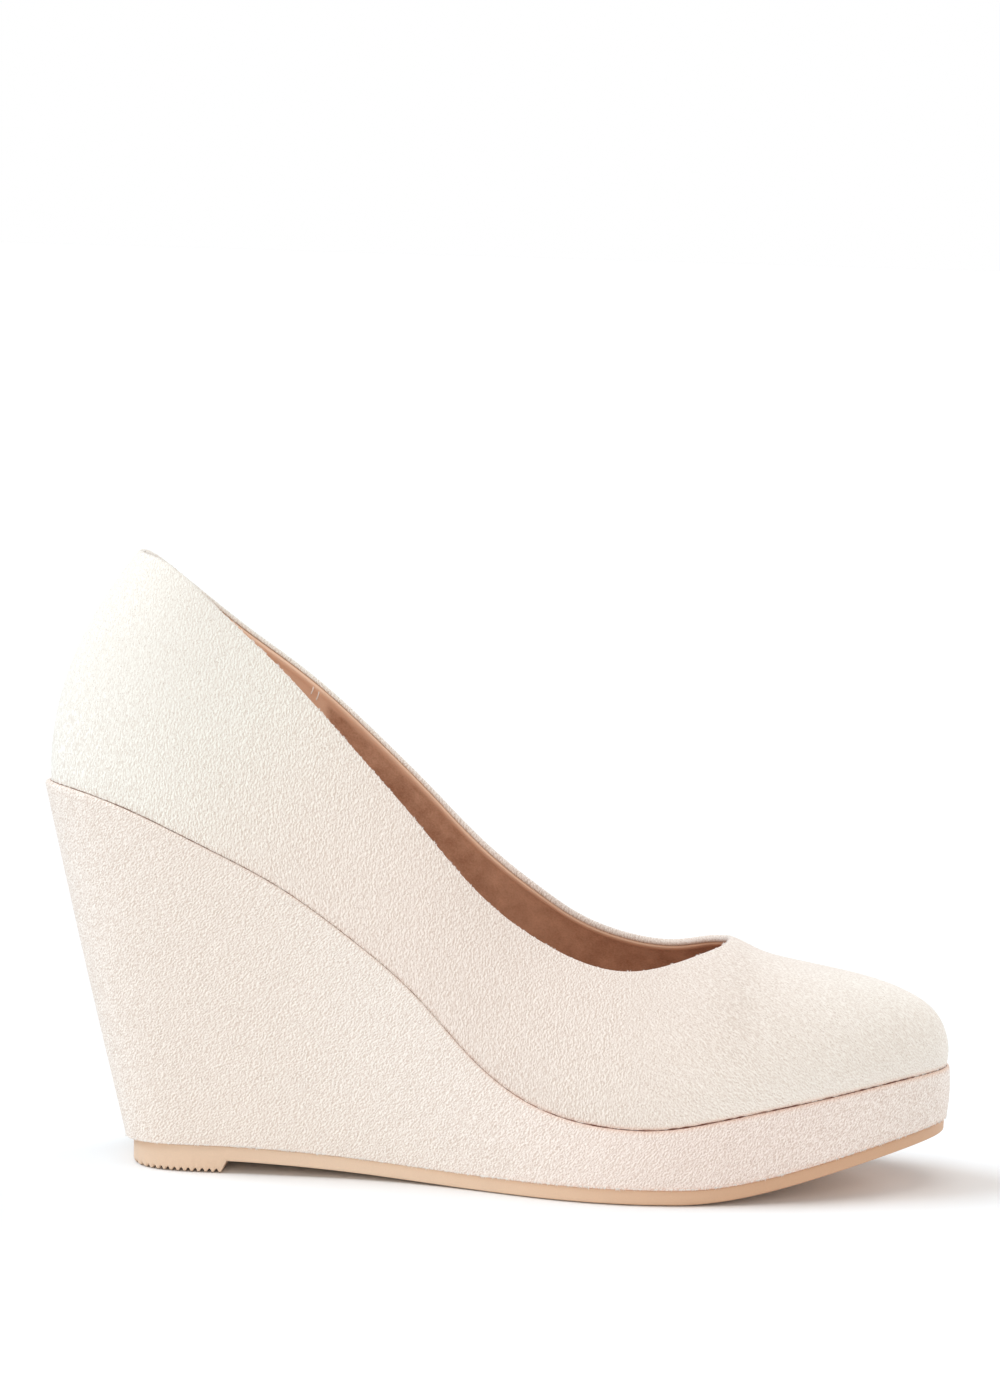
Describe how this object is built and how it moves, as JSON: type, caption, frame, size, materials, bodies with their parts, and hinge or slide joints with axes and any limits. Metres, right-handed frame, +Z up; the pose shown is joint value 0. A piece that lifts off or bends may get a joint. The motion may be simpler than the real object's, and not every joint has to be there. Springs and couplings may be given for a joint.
{
  "type": "wedge pump shoe",
  "caption": "Closed womens court shoe with a deep oval collar, a high covered wedge that runs into a platform under the ball, and a thin outsole with a grooved heel pad.",
  "frame": {"origin": "on the floor, under the middle of the shoe's box", "axes": "+Z up, +X from the heel to the toe, +Y to the inner side of the foot; the outer side faces -Y"},
  "size_m": [0.2402, 0.086, 0.1593],
  "materials": {
    "upper_suede": "short cream nap of imitation suede, matte",
    "wedge_cover": "the same imitation suede, stretched over the wedge",
    "insole_sock": "tan brown imitation leather with a fine grain, satin",
    "outsole_rubber": "tan rubber, matte"
  },
  "bodies": {
    "root": {"outsole": "outsole_rubber", "wedge": "wedge_cover", "upper": "upper_suede", "insole": "insole_sock"}
  },
  "joints": []
}
